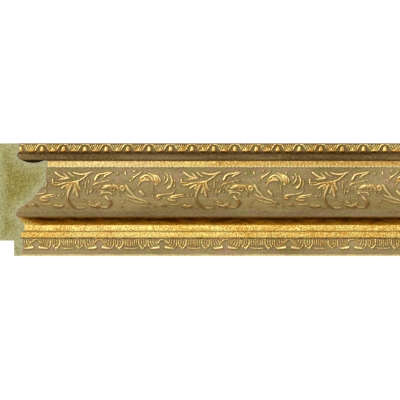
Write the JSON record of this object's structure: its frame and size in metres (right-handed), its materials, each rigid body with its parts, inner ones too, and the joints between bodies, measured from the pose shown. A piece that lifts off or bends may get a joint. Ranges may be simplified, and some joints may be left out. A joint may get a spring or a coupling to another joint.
{
  "type": "picture frame moulding strip",
  "caption": "Straight length of ornate picture-frame moulding with a rabbet, a high crest, a sloping scroll panel and gilded beads, mitre-bevelled at one end and square at the other",
  "frame": {"origin": "centre of the flat back, at the lowest point of the strip as it lies on its back", "axes": "+X along the strip to its square end, +Y across to the outer edge, +Z from the back to the decorated face"},
  "size_m": [0.2466, 0.0676, 0.0342],
  "materials": {
    "gilded_patina": "foamed plastic with an olive-umber patina, rubbed gilding on the raised work, bare green-grey foam at the ends and back"
  },
  "bodies": {
    "root": {"moulding_strip": "gilded_patina"}
  },
  "joints": []
}
